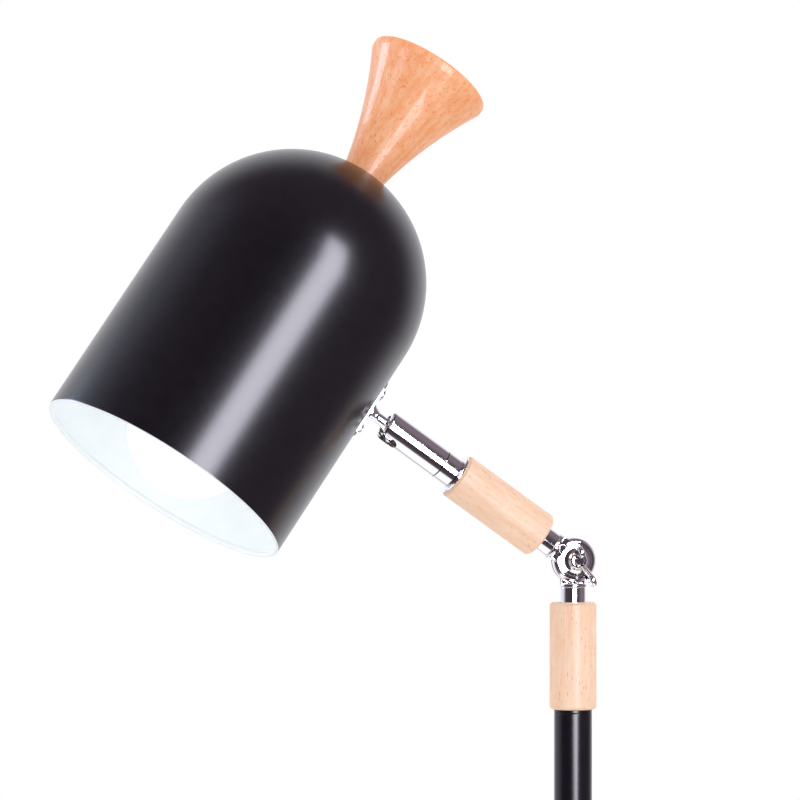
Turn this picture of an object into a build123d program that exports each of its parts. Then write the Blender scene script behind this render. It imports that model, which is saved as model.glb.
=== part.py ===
from build123d import *
import math
import os

# A floor lamp: a round weighted base, a tubular pole, a wooden sleeve under a wing-nut elbow, a
# wooden sleeved arm, a slotted ball joint and a domed shade with a flared wooden finial.
# Millimetres, +Z up, origin on the floor under the middle of the pole. The arm leans towards -X.

# General clearances
fit_gap = 0.05          # radial gap of a fixed piece in its seat
running_gap = 0.08      # radial gap of a pin that turns in its bore
joint_gap = 0.3         # gap between faces that move past each other
seat_gap = 0.05         # gap between faces that are clamped together

# Pose of the arm and the head
pivot_height = 1200.0
arm_elevation = 35.1    # degrees above level
head_turn = 6.0         # degrees that the head is turned about the arm
head_lift = 0.4         # degrees that the ball joint tips the head up from square to the arm

# Base
base_diameter = 250.0
base_wall = 1.2
base_height = 22.0
base_rim_height = 1.2
base_edge_radius = 8.0
pad_margin = 5.8        # edge of the pad inside the cover's wall
pad_thickness = 3.0
weight_gap = 1.6
recess_diameter = 44.0
recess_depth = 9.0
channel_width = 10.0
inlet_height = 8.0
inlet_bore = 6.6
grommet_hole = 9.0
grommet_flange = 12.0
grommet_lip = 1.6

# Hollow threaded nipple that holds the base on the pole
nipple_diameter = 10.0
nipple_bore = 7.0
nipple_engagement = 15.0
nipple_tail = 1.5
base_nut_size = 14.0
base_nut_thickness = 4.0
base_washer_diameter = 28.0
base_washer_thickness = 2.0
collar_diameter = 34.0
collar_height = 12.0
collar_round = 3.0

# Pole
pole_diameter = 22.0
pole_wall = 1.2
plug_length = 22.0
plug_shoulder = 2.0     # rim of the top plug that closes the tube
lower_length = 362.0
middle_length = 362.0
cable_bore = 7.0
stud_thread = 13.0
stud_length = 14.0

# Wooden sleeves, one on the pole and one on the arm
sleeve_diameter = 27.2
sleeve_length = 62.0
sleeve_start = 24.5     # from the elbow pivot along either member
sleeve_chamfer = 1.3
end_ring_diameter = 24.4
end_ring_thickness = 1.5
end_ring_chamfer = 0.3

# Stub tubes that run through the sleeves
stub_diameter = 15.3
stub_wall = 1.5
stub_plug_depth = 20.0

# Elbow knuckles
eye_diameter = 26.0
eye_thickness = 5.2
eye_round = 2.0
lap_gap = 1.2
neck_width = 15.0
flange_diameter = 16.6
flange_start = 13.4
flange_thickness = 2.6
flange_round = 1.0
spigot_length = 18.0
wire_bore = 5.0
groove_inner = 10.5
groove_outer = 18.5
groove_depth = 2.4
friction_washer_bore = 19.2
friction_washer_thickness = 1.0

# Pivot bolt, its washer and the wing nut
bolt_diameter = 6.0
bolt_head_diameter = 12.0
bolt_head_height = 3.6
bolt_overhang = 1.0
nut_washer_diameter = 18.6
nut_washer_thickness = 1.0
nut_foot_diameter = 15.2
nut_foot_height = 1.6
nut_hub_diameter = 10.6
nut_hub_height = 5.0
nut_hub_round = 0.8
wing_thickness = 3.4
wing_root_radius = 2.6
wing_tip_radius = 4.0
long_wing_reach = 12.0
short_wing_reach = 5.4
wing_rise = 13.5
wing_turn = 67.0        # degrees of the long wing's line below level, seen from the front

# Ferrule and the joint body that swivels in it
joint_diameter = 18.2
ferrule_length = 10.0
ferrule_wall_end = 3.4
ferrule_chamfer = 0.3
pin_diameter = 8.0
pin_bore = 5.0
clip_diameter = 11.4
clip_thickness = 1.2
pin_tail = 0.8
body_length = 40.2
body_round = 2.2
swivel_plug_length = 11.0

# Slotted ball joint
ball_diameter = 13.0
ball_gap = 0.3
ball_setback = 6.5      # ball centre behind the mouth of the joint body
mouth_diameter = 10.8
slot_clearance = 0.6
slot_behind_ball = 5.5
slot_turn = 18.0        # degrees from straight under the arm, towards the front
seat_length = 9.5
seat_lip = 2.6          # front of the seat behind the ball centre
spring_wire = 0.9
spring_bore = 6.2
spring_dish = 0.7
spring_count = 4
stem_diameter = 6.5
stem_bore = 3.6
stem_cone_length = 6.5
stem_cone_diameter = 11.5
stem_rim = 1.5          # straight edge at the wide end of the stem's cone
stem_reach = 19.0       # ball centre to the mounting plate
stem_thread = 6.0
stem_tail = 1.5         # thread that stands out past the stem nut
stem_nut_size = 10.0
stem_nut_thickness = 4.0

# Mounting plate and its screws
plate_length = 42.0
plate_width = 15.0
plate_thickness = 1.5
plate_height = 104.1    # middle of the plate above the mouth of the shade
screw_pitch = 24.0
screw_diameter = 4.0
screw_head_diameter = 8.0
screw_head_height = 2.6
screw_head_round = 1.5
screw_slot_width = 1.0
screw_slot_depth = 1.0
screw_tail = 0.8
screw_nut_size = 7.0
screw_nut_thickness = 3.0
screw_washer_diameter = 9.0
screw_washer_thickness = 0.8

# Shade
shade_diameter = 154.0
shade_wall = 1.0
shade_skirt = 138.0     # straight length below the dome
hem_height = 2.4
hem_thickness = 1.8

# Finial
finial_base_diameter = 24.6
finial_rim_diameter = 72.4
finial_height = 75.0
finial_flare_radius = 150.0
finial_lip = 4.6
finial_lip_round = 1.9
insert_diameter = 14.0
insert_length = 14.0

# Rod that hangs the lampholder from the dome
rod_diameter = 10.0
rod_bore = 7.0
rod_grip = 12.0
rod_washer_diameter = 22.0
rod_washer_thickness = 1.2
rod_nut_size = 14.0
rod_nut_thickness = 5.0
rod_in_cap = 8.0        # length of rod inside the lampholder's cap

# Lampholder
holder_diameter = 41.0
holder_wall = 2.0
holder_mouth_height = 83.0
holder_length = 40.0
cap_length = 14.0
cap_neck_diameter = 17.0
cap_lip = 3.0
insulator_thickness = 6.0
insulator_bore = 3.0
screw_shell_diameter = 28.8
screw_shell_wall = 0.6
screw_shell_length = 27.0
tongue_width = 6.0
tongue_length = 14.0
tongue_thickness = 0.6

# Bulb
globe_diameter = 76.0
globe_centre_height = 33.7
globe_neck_diameter = 46.0
globe_wall = 1.0
bulb_body_length = 23.5
bulb_body_top_diameter = 28.0
bulb_cap_diameter = 26.4
bulb_cap_length = 22.0
bulb_cap_wall = 0.8
bulb_cap_step = 1.0     # shoulder between the threaded part and the tapered end
bulb_tip_length = 3.4
bulb_tip_diameter = 14.0
contact_diameter = 9.6
contact_length = 1.6

# Sizes that follow from the ones above
base_inner_top = base_height - base_wall
pad_diameter = base_diameter - 2 * base_wall - 2 * pad_margin
pole_bore = pole_diameter - 2 * pole_wall
plug_diameter = pole_bore - 2 * fit_gap
pole_low = base_height
joint_low = pole_low + lower_length
joint_high = joint_low + middle_length
pole_top = pivot_height - sleeve_start - sleeve_length
stub_start = flange_start + flange_thickness
stub_bore = stub_diameter - 2 * stub_wall
stub_low = pole_top - stub_plug_depth
sleeve_end = sleeve_start + sleeve_length
eye_face = lap_gap / 2
eye_back = eye_face + eye_thickness
ring_end = sleeve_end + end_ring_thickness
ferrule_end = ring_end + ferrule_length
arm_tube_end = ferrule_end - ferrule_wall_end
body_start = ferrule_end + joint_gap
body_end = body_start + body_length
ball_centre = body_end - ball_setback
ball_radius = ball_diameter / 2
chamber_radius = ball_radius + ball_gap
plug_end = body_start + swivel_plug_length
seat_front = ball_centre - seat_lip
seat_back = seat_front - seat_length
plate_outer = ball_centre + stem_reach
shade_radius = shade_diameter / 2
shade_inner = shade_radius - shade_wall
shade_axis = plate_outer + plate_thickness + shade_radius
apex_height = shade_skirt + shade_radius
inner_apex = apex_height - shade_wall
rod_low = holder_mouth_height + holder_length + cap_length - rod_in_cap
insert_bore = rod_diameter + 2 * fit_gap

# Frames of the members
elevation = math.radians(arm_elevation)
arm_direction = Vector(-math.cos(elevation), 0, math.sin(elevation))
arm_up = Vector(math.sin(elevation), 0, math.cos(elevation))
pivot = Vector(0, 0, pivot_height)
arm_plane = Plane(origin=pivot, x_dir=arm_up, z_dir=arm_direction)
joint_up = arm_up.rotate(Axis((0, 0, 0), arm_direction), head_turn)
joint_plane = Plane(origin=pivot, x_dir=joint_up, z_dir=arm_direction)
slot_direction = (joint_up * -1).rotate(Axis((0, 0, 0), arm_direction), slot_turn)
slot_plane = Plane(origin=pivot, x_dir=slot_direction, z_dir=arm_direction)

# Frames of the stem and the head, tipped about the middle of the ball
head_elevation = math.radians(arm_elevation + head_lift)
head_direction = Vector(-math.cos(head_elevation), 0, math.sin(head_elevation))
head_square_up = Vector(math.sin(head_elevation), 0, math.cos(head_elevation))
head_up = head_square_up.rotate(Axis((0, 0, 0), head_direction), head_turn)
stem_origin = pivot + arm_direction * ball_centre - head_direction * ball_centre
stem_plane = Plane(origin=stem_origin, x_dir=head_up, z_dir=head_direction)
mouth_centre = stem_origin + head_direction * shade_axis - head_up * plate_height
head_plane = Plane(origin=mouth_centre, x_dir=head_direction * -1, z_dir=head_up)


def rod(diameter, low, high):
    """A round bar on Z between two heights."""
    bar = Cylinder(diameter / 2, high - low, align=(Align.CENTER, Align.CENTER, Align.MIN))
    return Pos(0, 0, low) * bar


def tube(diameter, bore, low, high):
    """A round tube on Z between two heights."""
    return rod(diameter, low, high) - rod(bore, low, high)


def cone(low_diameter, high_diameter, low, high):
    """A taper on Z between two heights."""
    align = (Align.CENTER, Align.CENTER, Align.MIN)
    return Pos(0, 0, low) * Cone(low_diameter / 2, high_diameter / 2, high - low, align=align)


def hex_nut(across_flats, bore, low, high):
    """A hexagon nut on Z between two heights."""
    outline = RegularPolygon(across_flats / 2, 6, major_radius=False)
    return Pos(0, 0, low) * extrude(outline, high - low) - rod(bore, low, high)


def turned(outline):
    """A solid turned about Z from a closed outline in the XZ plane."""
    return revolve(make_face(outline), Axis.Z)


def keep(shape, name):
    """Write one sub-part under its node name."""
    export_step(shape, "parts/" + name + ".step")


def inlet_place(distance):
    """The place on the cable inlet's line, at a distance behind the pole, facing outwards."""
    return Plane(origin=(distance, 0, inlet_height), x_dir=(0, 1, 0), z_dir=(1, 0, 0)).location


# Base pieces
def base_pad():
    return rod(pad_diameter, 0, pad_thickness)


def base_cover():
    outer = rod(base_diameter, base_rim_height, base_height)
    outer = fillet(outer.edges().sort_by(Axis.Z)[-1], base_edge_radius)
    inner = rod(base_diameter - 2 * base_wall, base_rim_height, base_inner_top)
    inner = fillet(inner.edges().sort_by(Axis.Z)[-1], base_edge_radius - base_wall)
    cover = outer - inner - rod(nipple_diameter + 2 * fit_gap, base_inner_top - 1, base_height + 1)
    hole = inlet_place(base_diameter / 2 - 3 * base_wall) * rod(grommet_hole, 0, 6 * base_wall)
    return cover - hole


def base_weight():
    diameter = base_diameter - 2 * base_wall - 2 * weight_gap
    weight = rod(diameter, pad_thickness + seat_gap, base_inner_top - seat_gap)
    weight = fillet(weight.edges().sort_by(Axis.Z)[-1], base_edge_radius)
    weight -= rod(recess_diameter, pad_thickness, pad_thickness + recess_depth)
    weight -= rod(nipple_diameter + 2 * fit_gap, 0, base_height)
    channel_top = inlet_height + channel_width / 2
    channel = Box(diameter, channel_width, channel_top, align=(Align.MIN, Align.CENTER, Align.MIN))
    return weight - channel


def cable_grommet():
    """A rubber ring with a lip on each side of the cover's wall."""
    wall_outer = base_diameter / 2
    wall_inner = wall_outer - base_wall
    length = base_wall + 2 * grommet_lip
    lips = rod(grommet_flange, 0, grommet_lip) + rod(grommet_flange, length - grommet_lip, length)
    place = inlet_place(wall_inner - grommet_lip)
    wall = tube(2 * wall_outer + 2 * seat_gap, 2 * wall_inner - 2 * seat_gap, 0, base_height)
    ring = place * lips - wall + place * rod(grommet_hole - 2 * fit_gap, 0, length)
    return ring - inlet_place(0) * rod(inlet_bore, 0, base_diameter)


def base_nipple():
    low = recess_floor() - base_washer_thickness - base_nut_thickness - nipple_tail
    return tube(nipple_diameter, nipple_bore, low, base_height + nipple_engagement)


def recess_floor():
    """Height of the recess floor that the base washer bears on."""
    return pad_thickness + recess_depth


def base_washer():
    high = recess_floor() - seat_gap
    return tube(base_washer_diameter, nipple_diameter + 2 * fit_gap, high - base_washer_thickness, high)


def base_nut():
    high = recess_floor() - base_washer_thickness - 2 * seat_gap
    return hex_nut(base_nut_size, nipple_diameter + 2 * fit_gap, high - base_nut_thickness, high)


def foot_collar():
    collar = rod(collar_diameter, base_height + seat_gap, base_height + collar_height)
    collar = fillet(collar.edges().sort_by(Axis.Z)[-1], collar_round)
    return collar - rod(pole_diameter + 2 * fit_gap, base_height, base_height + collar_height)


# Pole pieces
def pole_tube(low, high):
    return tube(pole_diameter, pole_bore, low, high)


def pole_foot_plug():
    low = pole_low + seat_gap
    return tube(plug_diameter, nipple_diameter + 2 * fit_gap, low, low + plug_length)


def pole_stud(height):
    stud = rod(plug_diameter, height - plug_length, height - seat_gap)
    stud += rod(stud_thread, height - seat_gap, height + stud_length)
    return stud - rod(cable_bore, height - plug_length, height + stud_length)


def pole_socket(height):
    return tube(plug_diameter, stud_thread + 2 * fit_gap, height + seat_gap, height + plug_length)


def pole_top_plug():
    """A plug pressed in the tube, with a rim as wide as the tube that the sleeve stands on."""
    rim_low = pole_top - plug_shoulder
    plug = rod(plug_diameter, rim_low - plug_length, rim_low)
    plug += rod(pole_diameter, rim_low, pole_top - seat_gap)
    return plug - rod(stub_diameter + 2 * fit_gap, rim_low - plug_length, pole_top)


def wooden_sleeve(low):
    """A turned sleeve with a small chamfer at both rims, bored for the stub tube."""
    bar = rod(sleeve_diameter, low, low + sleeve_length)
    rims = bar.edges().filter_by(GeomType.CIRCLE)
    return chamfer(rims, sleeve_chamfer) - rod(stub_diameter + 2 * fit_gap, low, low + sleeve_length)


# Elbow pieces
def knuckle(side):
    """One half of the lapped elbow, rising along Z from the pivot.

    side is 1 for the half behind the lap and -1 for the half in front of it.
    """
    across = Plane(origin=(0, side * eye_face, 0), x_dir=(1, 0, 0), z_dir=(0, side, 0)).location
    eye = rod(eye_diameter, 0, eye_thickness)
    eye = fillet(eye.edges().sort_by(Axis.Z)[-1], eye_round)
    groove = tube(groove_outer, groove_inner, 0, groove_depth)
    neck = Box(neck_width, flange_start, eye_thickness, align=(Align.CENTER, Align.MAX, Align.MIN))
    if side < 0:
        neck = Box(neck_width, flange_start, eye_thickness, align=(Align.CENTER, Align.MIN, Align.MIN))
    shape = across * (eye + neck - groove)
    flange = rod(flange_diameter, flange_start, stub_start - seat_gap)
    flange = fillet(flange.edges().filter_by(GeomType.CIRCLE), flange_round)
    spigot_end = stub_start + spigot_length
    shape += flange + rod(stub_bore - 2 * fit_gap, stub_start - 1, spigot_end)
    shape -= rod(wire_bore, groove_inner / 2, spigot_end)
    gap = fit_gap if side > 0 else running_gap
    return shape - across * rod(bolt_diameter + 2 * gap, -lap_gap, 2 * eye_thickness)


def across_pivot(distance, turn=0.0):
    """A frame on the bolt's line, at a distance in front of the lap, facing the front."""
    angle = math.radians(turn)
    x_dir = (math.cos(angle), 0, -math.sin(angle))
    return Plane(origin=(0, -distance, pivot_height), x_dir=x_dir, z_dir=(0, -1, 0)).location


def friction_washer():
    low = -eye_face + seat_gap
    washer = tube(eye_diameter, friction_washer_bore, low, low + friction_washer_thickness - seat_gap)
    return across_pivot(0) * washer


def nut_base():
    """Distance of the wing nut's foot in front of the lap."""
    return eye_back + seat_gap + nut_washer_thickness + joint_gap


def pivot_bolt():
    back = -eye_back - seat_gap
    head = rod(bolt_head_diameter, back - bolt_head_height, back)
    head = fillet(head.edges().sort_by(Axis.Z)[0], bolt_head_height * 0.6)
    front = nut_base() + nut_hub_height + bolt_overhang
    shank = chamfer(rod(bolt_diameter, back, front).edges().sort_by(Axis.Z)[-1], bolt_diameter / 12)
    return across_pivot(0) * (head + shank)


def nut_washer():
    low = eye_back + seat_gap
    washer = tube(
        nut_washer_diameter, bolt_diameter + 4 * running_gap, low, low + nut_washer_thickness
    )
    return across_pivot(0) * washer


def wing(reach):
    """One ear of the nut: a flat plate from the hub out and up to a round tip."""
    root = Pos(nut_hub_diameter / 2 - wing_root_radius, wing_root_radius) * Circle(wing_root_radius)
    tip = Pos(reach, wing_rise) * Circle(wing_tip_radius)
    outline = make_hull((root + tip).edges())
    plate = extrude(outline, wing_thickness / 2, both=True)
    plate = fillet(plate.edges().filter_by(Plane.XY), wing_thickness / 5)
    return Rot(90, 0, 0) * plate


def wing_nut():
    """A nut with a long ear to push on and a short one opposite."""
    nut = cone(nut_foot_diameter, nut_hub_diameter, 0, nut_foot_height)
    nut += rod(nut_hub_diameter, nut_foot_height, nut_hub_height)
    nut = fillet(nut.edges().sort_by(Axis.Z)[-1], nut_hub_round)
    nut += Pos(0, 0, nut_foot_height / 2) * wing(long_wing_reach)
    nut += Pos(0, 0, nut_foot_height / 2) * Rot(0, 0, 180) * wing(short_wing_reach)
    nut -= rod(bolt_diameter + 2 * running_gap, 0, nut_hub_height + 2 * wing_rise)
    return across_pivot(nut_base(), wing_turn) * nut


# Swivel and ball joint, in the frame that rises along the arm
def sleeve_end_ring():
    """A thin turned ring between the arm's sleeve and the ferrule."""
    ring = rod(end_ring_diameter, sleeve_end + seat_gap, ring_end)
    ring = chamfer(ring.edges().filter_by(GeomType.CIRCLE), end_ring_chamfer)
    return ring - rod(stub_diameter + 2 * fit_gap, sleeve_end, ring_end)


def ferrule():
    outer = rod(joint_diameter, ring_end + seat_gap, ferrule_end)
    outer = chamfer(outer.edges().filter_by(GeomType.CIRCLE), ferrule_chamfer)
    outer -= rod(stub_diameter + 2 * fit_gap, ring_end, arm_tube_end + seat_gap)
    return outer - rod(pin_diameter + 2 * running_gap, ring_end, ferrule_end)


def swivel_plug():
    plug = rod(2 * chamber_radius - 2 * fit_gap, body_start, plug_end)
    pin_end = arm_tube_end - joint_gap - clip_thickness - pin_tail
    plug += rod(pin_diameter, pin_end, body_start)
    return plug - rod(pin_bore, pin_end, plug_end)


def swivel_clip():
    high = arm_tube_end - joint_gap
    return tube(clip_diameter, pin_diameter + 2 * fit_gap, high - clip_thickness, high)


def slot_cut():
    """The stem's slot: open at the mouth, round at its inner end, facing +X."""
    width = stem_diameter + 2 * slot_clearance
    inner_end = ball_centre - slot_behind_ball
    corner = inner_end + width / 2
    reach = joint_diameter
    lane = Box(reach, width, body_end - corner + 1, align=(Align.MIN, Align.CENTER, Align.MIN))
    eye = Cylinder(width / 2, reach, align=(Align.CENTER, Align.CENTER, Align.MIN))
    return Pos(0, 0, corner) * lane + Pos(0, 0, corner) * Rot(0, 90, 0) * eye


def joint_body():
    """The housing: a bored cup with a round mouth that holds the ball, slotted on one side."""
    body = rod(joint_diameter, body_start, body_end)
    body = fillet(body.edges().sort_by(Axis.Z)[-1], body_round)
    body = chamfer(body.edges().sort_by(Axis.Z)[0], ferrule_chamfer)
    body -= rod(2 * chamber_radius, body_start, ball_centre)
    body -= Pos(0, 0, ball_centre) * Sphere(chamber_radius)
    body -= rod(mouth_diameter, ball_centre, body_end)
    return body


def ball_seat():
    seat = rod(2 * chamber_radius - 2 * fit_gap, seat_back, seat_front)
    seat -= Pos(0, 0, ball_centre) * Sphere(chamber_radius)
    return seat - rod(pin_bore, seat_back, seat_front)


def disc_spring(low, flip):
    """A dished spring washer."""
    outer = chamber_radius - 2 * fit_gap
    inner = spring_bore / 2
    inner_low = low + spring_dish if flip else low
    outer_low = low if flip else low + spring_dish
    corners = [
        (inner, 0, inner_low),
        (outer, 0, outer_low),
        (outer, 0, outer_low + spring_wire),
        (inner, 0, inner_low + spring_wire),
    ]
    return turned(Polyline(corners, close=True))


def disc_springs():
    """Dished washers that fill the space between the swivel plug and the seat, face about."""
    pitch = (seat_back - plug_end) / spring_count
    return [disc_spring(plug_end + i * pitch + seat_gap, i % 2 == 1) for i in range(spring_count)]


def ball_stud():
    stud = Pos(0, 0, ball_centre) * Sphere(ball_radius)
    stud += rod(stem_diameter, ball_centre, plate_outer - seat_gap)
    cone_start = plate_outer - stem_cone_length
    cone_end = plate_outer - stem_rim
    stud += cone(stem_diameter, stem_cone_diameter, cone_start, cone_end)
    stud += rod(stem_cone_diameter, cone_end, plate_outer - seat_gap)
    thread_end = plate_outer + plate_thickness + shade_wall + stem_nut_thickness + stem_tail
    stud += rod(stem_thread, cone_end, thread_end)
    return stud - rod(stem_bore, ball_centre - ball_radius, thread_end)


# Pieces of the head, in the frame that rises from the middle of the shade's mouth
def side_place(height=0.0):
    """A frame on the shade's side where the plate sits, facing the arm."""
    origin = (shade_radius, 0, plate_height + height)
    return Plane(origin=origin, x_dir=(0, 1, 0), z_dir=(1, 0, 0)).location


def screw_heights():
    return (-screw_pitch / 2, screw_pitch / 2)


def side_holes():
    """The stem's hole and the two screw holes through the plate and the shade's wall."""
    depth = 2 * (plate_thickness + shade_wall)
    holes = side_place() * rod(stem_thread + 2 * fit_gap, -depth, depth)
    for height in screw_heights():
        holes += side_place(height) * rod(screw_diameter + 2 * fit_gap, -depth, depth)
    return holes


def mount_plate():
    """A strap with round ends, curved to the shade, with a hole for the stem and two screws."""
    plate = tube(
        shade_diameter + 2 * plate_thickness,
        shade_diameter + 2 * seat_gap,
        plate_height - plate_length,
        plate_height + plate_length,
    )
    outline = SlotOverall(plate_length, plate_width, rotation=90)
    return plate & (side_place() * extrude(outline, 3 * plate_thickness, both=True)) - side_holes()


def shade():
    """A spun dome on a straight skirt, with a small hem turned inwards at the mouth."""
    hem_radius = shade_radius - hem_thickness
    slant = math.sqrt(0.5)
    dome_mid = (shade_radius * slant, 0, shade_skirt + shade_radius * slant)
    inner_mid = (shade_inner * slant, 0, shade_skirt + shade_inner * slant)
    outline = [
        Line((shade_radius, 0, 0), (shade_radius, 0, shade_skirt)),
        ThreePointArc((shade_radius, 0, shade_skirt), dome_mid, (0, 0, apex_height)),
        Line((0, 0, apex_height), (0, 0, inner_apex)),
        ThreePointArc((0, 0, inner_apex), inner_mid, (shade_inner, 0, shade_skirt)),
        Line((shade_inner, 0, shade_skirt), (shade_inner, 0, hem_height)),
        Line((shade_inner, 0, hem_height), (hem_radius, 0, hem_height)),
        Line((hem_radius, 0, hem_height), (hem_radius, 0, 0)),
        Line((hem_radius, 0, 0), (shade_radius, 0, 0)),
    ]
    shell = turned(outline) - rod(rod_diameter + 2 * fit_gap, shade_skirt, apex_height)
    return shell - side_holes()


def inner_wall(height=0.0):
    """A frame on the inside of the shade's wall, facing into the shade."""
    origin = (shade_inner, 0, plate_height + height)
    return Plane(origin=origin, x_dir=(0, 1, 0), z_dir=(-1, 0, 0)).location


def flat_seat(width):
    """How far a flat washer of this width stands in from the curved wall."""
    return shade_inner - math.sqrt(shade_inner ** 2 - (width / 2) ** 2) + seat_gap


def stem_nut():
    low = flat_seat(stem_nut_size)
    nut = hex_nut(stem_nut_size, stem_thread + 2 * fit_gap, low, low + stem_nut_thickness)
    return inner_wall() * nut


def screw_seat():
    """Height of the screw head's face over the shade's surface."""
    return plate_thickness + seat_gap


def plate_screw(height):
    head = rod(screw_head_diameter, screw_seat(), screw_seat() + screw_head_height)
    head = fillet(head.edges().sort_by(Axis.Z)[-1], screw_head_round)
    align = (Align.CENTER, Align.CENTER, Align.MAX)
    slot = Box(screw_head_diameter, screw_slot_width, screw_slot_depth, align=align)
    head -= Pos(0, 0, screw_seat() + screw_head_height) * slot
    depth = shade_wall + flat_seat(screw_washer_diameter) + screw_washer_thickness
    depth += screw_nut_thickness + screw_tail
    return side_place(height) * (head + rod(screw_diameter, -depth, screw_seat()))


def screw_washer(height):
    low = flat_seat(screw_washer_diameter)
    washer = tube(
        screw_washer_diameter, screw_diameter + 2 * fit_gap, low, low + screw_washer_thickness
    )
    return inner_wall(height) * washer


def screw_nut(height):
    low = flat_seat(screw_washer_diameter) + screw_washer_thickness + seat_gap
    nut = hex_nut(screw_nut_size, screw_diameter + 2 * fit_gap, low, low + screw_nut_thickness)
    return inner_wall(height) * nut


def finial():
    """A turned flare on the dome: one long hollow curve up to a thick rounded rim."""
    base = finial_base_diameter / 2
    rim = finial_rim_diameter / 2
    top = apex_height + finial_height
    flare_end = top - finial_lip
    foot = Vector(base, 0, apex_height)
    brim = Vector(rim, 0, flare_end)
    chord = brim - foot
    sag = finial_flare_radius - math.sqrt(finial_flare_radius ** 2 - (chord.length / 2) ** 2)
    inward = Vector(-chord.Z, 0, chord.X).normalized()
    flare = ThreePointArc(foot, (foot + brim) * 0.5 + inward * sag, brim)
    outline = [
        flare,
        Line(brim, (rim, 0, top)),
        Line((rim, 0, top), (0, 0, top)),
        Line((0, 0, top), (0, 0, shade_skirt)),
        Line((0, 0, shade_skirt), (base, 0, shade_skirt)),
        Line((base, 0, shade_skirt), foot),
    ]
    body = turned(outline)
    rims = body.edges().filter_by(GeomType.CIRCLE).filter_by(lambda e: e.radius > rim - 0.01)
    body = fillet(rims, finial_lip_round)
    body -= Pos(0, 0, shade_skirt) * Sphere(shade_radius + seat_gap)
    return body - rod(insert_diameter + 2 * fit_gap, shade_skirt, apex_height + insert_length + 1)


def insert_low():
    """Height where the insert's edge clears the dome."""
    return shade_skirt + math.sqrt(shade_radius ** 2 - (rod_diameter / 2) ** 2) + joint_gap


def finial_insert():
    return tube(insert_diameter, insert_bore, insert_low(), insert_low() + insert_length)


def holder_rod():
    return tube(rod_diameter, rod_bore, rod_low, apex_height + rod_grip)


def washer_top():
    """Height where the flat rod washer meets the inside of the dome."""
    drop = shade_inner - math.sqrt(shade_inner ** 2 - (rod_washer_diameter / 2) ** 2)
    return inner_apex - drop - seat_gap


def rod_washer():
    low = washer_top() - rod_washer_thickness
    return tube(rod_washer_diameter, rod_diameter + 2 * fit_gap, low, washer_top())


def rod_nut():
    high = washer_top() - rod_washer_thickness - seat_gap
    return hex_nut(rod_nut_size, rod_diameter + 2 * fit_gap, high - rod_nut_thickness, high)


def holder_top():
    return holder_mouth_height + holder_length


def holder_shell():
    shell = tube(
        holder_diameter, holder_diameter - 2 * holder_wall, holder_mouth_height, holder_top()
    )
    rim = shell.edges().filter_by(GeomType.CIRCLE).sort_by(Axis.Z)[0:2]
    return fillet(rim, holder_wall / 4)


def holder_cap():
    """The domed end of the lampholder, threaded on the rod."""
    low = holder_top() + seat_gap
    high = low + cap_length
    cap = rod(holder_diameter, low, low + cap_lip)
    cap += cone(holder_diameter, cap_neck_diameter, low + cap_lip, high - cap_lip)
    cap += rod(cap_neck_diameter, high - cap_lip, high)
    inner = holder_diameter - 4 * holder_wall
    cap -= cone(inner, cap_neck_diameter - 2 * holder_wall, low, high - 2 * cap_lip)
    return cap - rod(rod_diameter + 2 * fit_gap, low, high)


def holder_insulator():
    high = holder_top()
    disc = rod(holder_diameter - 2 * holder_wall - 2 * fit_gap, high - insulator_thickness, high)
    return disc - rod(insulator_bore, high - insulator_thickness, high)


def screw_shell_top():
    return holder_top() - insulator_thickness - seat_gap


def holder_screw_shell():
    bore = screw_shell_diameter - 2 * screw_shell_wall
    return tube(screw_shell_diameter, bore, screw_shell_top() - screw_shell_length, screw_shell_top())


def bulb_top():
    """Height of the bulb's end contact."""
    return bulb_cap_low() + bulb_cap_length + bulb_tip_length + contact_length


def bulb_body_low():
    """Height where the globe closes on the bulb's body."""
    drop = math.sqrt((globe_diameter / 2) ** 2 - (globe_neck_diameter / 2) ** 2)
    return globe_centre_height + drop


def bulb_cap_low():
    return bulb_body_low() + bulb_body_length


def holder_contact():
    """A sprung tongue folded from strip: a foot on the insulator and a tip on the bulb."""
    low = bulb_top() + seat_gap
    high = screw_shell_top() - seat_gap
    corners = [
        (-tongue_length / 2, 0, high - tongue_thickness),
        (0, 0, high - tongue_thickness),
        (tongue_length / 4, 0, low),
        (tongue_length / 2, 0, low),
        (tongue_length / 2, 0, low + tongue_thickness),
        (tongue_length / 4, 0, low + tongue_thickness),
        (0, 0, high),
        (-tongue_length / 2, 0, high),
    ]
    strip = make_face(Polyline(corners, close=True))
    return Pos(-tongue_length / 4, 0, 0) * extrude(strip, tongue_width / 2, both=True)


# Bulb
def bulb_globe():
    """A round blown globe, open where the bulb's body closes it."""
    globe = Sphere(globe_diameter / 2) - Sphere(globe_diameter / 2 - globe_wall)
    globe = Pos(0, 0, globe_centre_height) * globe
    return globe - rod(globe_diameter, bulb_body_low(), bulb_body_low() + globe_diameter)


def bulb_body():
    low = bulb_body_low() + seat_gap
    high = bulb_cap_low()
    return cone(globe_neck_diameter, bulb_body_top_diameter, low, high)


def bulb_cap():
    low = bulb_cap_low() + seat_gap
    high = bulb_cap_low() + bulb_cap_length
    cap = rod(bulb_cap_diameter, low, high)
    cap += cone(bulb_cap_diameter - 2 * bulb_cap_step, bulb_tip_diameter, high, high + bulb_tip_length)
    return cap - rod(bulb_cap_diameter - 2 * bulb_cap_wall, low, high - bulb_cap_wall)


def bulb_contact():
    return rod(contact_diameter, bulb_top() - contact_length + seat_gap, bulb_top())


# Everything in its place
up_arm = arm_plane.location
up_joint = joint_plane.location
up_stem = stem_plane.location
up_head = head_plane.location
down_pole = Plane(origin=pivot, x_dir=(-1, 0, 0), z_dir=(0, 0, -1)).location
slot_side = slot_plane.location

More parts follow.
